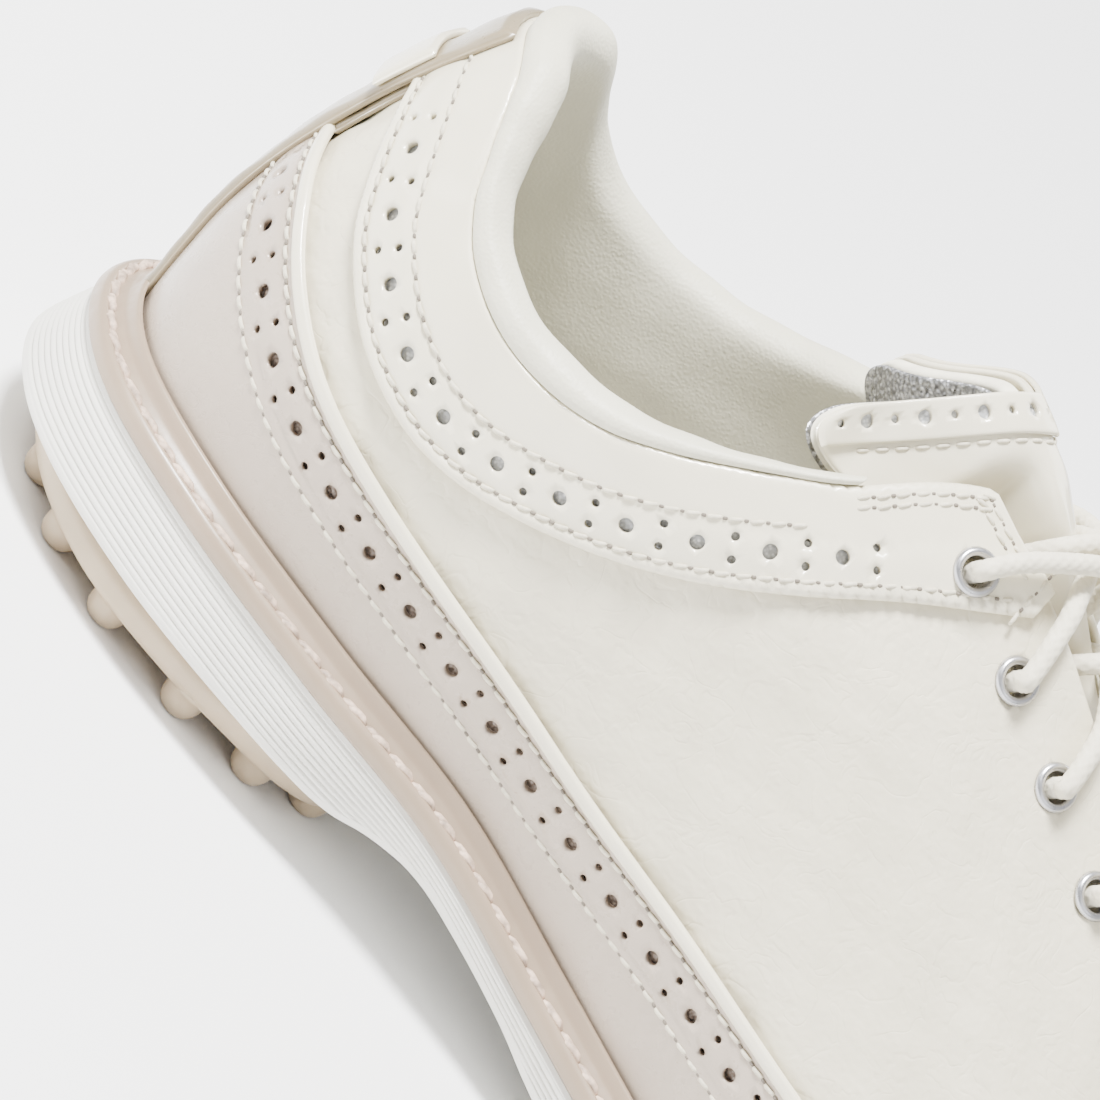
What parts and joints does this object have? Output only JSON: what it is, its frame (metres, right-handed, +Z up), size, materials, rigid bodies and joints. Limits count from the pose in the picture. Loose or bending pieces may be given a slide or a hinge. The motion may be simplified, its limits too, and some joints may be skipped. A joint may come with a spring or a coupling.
{
  "type": "golf shoe",
  "caption": "Left spikeless golf shoe with a longwing perforated leather upper, storm welt, ridged midsole, nubbed rubber soles, round laces in metal eyelets and a bending tongue top.",
  "frame": {"origin": "On the ground under the middle of the shoe: the centre of the bounding box at its base.", "axes": "+X towards the toe, +Y towards the lateral side, +Z up."},
  "size_m": [0.3086, 0.1156, 0.1247],
  "materials": {
    "rubber_sole": "satin",
    "midsole_foam": "matte",
    "welt_leather": "satin",
    "shank_steel": "satin",
    "stiffener_board": "matte",
    "sock": "matte",
    "soft_leather": "satin",
    "pearl_leather": "satin",
    "cream_leather": "gloss",
    "stay_leather": "gloss",
    "padding": "matte",
    "silver_lining": "satin",
    "lining_leather": "matte",
    "eyelet_metal": "satin",
    "lace_cord": "matte",
    "aglet_plastic": "satin"
  },
  "bodies": {
    "shoe": {"outsole_heel": "rubber_sole", "outsole_forefoot": "rubber_sole", "midsole": "midsole_foam", "welt": "welt_leather", "shank": "shank_steel", "insole_board": "stiffener_board", "sockliner": "sock", "vamp": "soft_leather", "lining_vamp": "lining_leather", "toe_puff": "stiffener_board", "heel_counter": "stiffener_board", "toe_wing": "pearl_leather", "collar_lining": "lining_leather", "collar_foam": "padding", "backstay": "stay_leather", "heel_tab": "cream_leather", "quarter_medial": "soft_leather", "foxing_medial": "pearl_leather", "collar_strap_medial": "cream_leather", "lining_medial": "lining_leather", "quarter_lateral": "soft_leather", "foxing_lateral": "pearl_leather", "collar_strap_lateral": "cream_leather", "lining_lateral": "lining_leather", "tongue_base": "cream_leather", "tongue_base_pad": "padding", "tongue_base_lining": "silver_lining", "eyelet_medial_1": "eyelet_metal", "eyelet_medial_2": "eyelet_metal", "eyelet_medial_3": "eyelet_metal", "eyelet_medial_4": "eyelet_metal", "eyelet_medial_5": "eyelet_metal", "eyelet_medial_6": "eyelet_metal", "eyelet_lateral_1": "eyelet_metal", "eyelet_lateral_2": "eyelet_metal", "eyelet_lateral_3": "eyelet_metal", "eyelet_lateral_4": "eyelet_metal", "eyelet_lateral_5": "eyelet_metal", "eyelet_lateral_6": "eyelet_metal", "lace_medial": "lace_cord", "aglet_medial": "aglet_plastic", "lace_lateral": "lace_cord", "aglet_lateral": "aglet_plastic"},
    "tongue_top": {"tongue_flap": "cream_leather", "tongue_flap_pad": "padding", "tongue_flap_lining": "silver_lining", "tongue_trim": "cream_leather"}
  },
  "joints": [
    {"name": "tongue_bend", "type": "hinge", "parent": "shoe", "child": "tongue_top", "pos_m": [-0.04345, -0.00043, 0.1204], "axis": [0, 1, 0], "range_deg": [0, 32]}
  ]
}
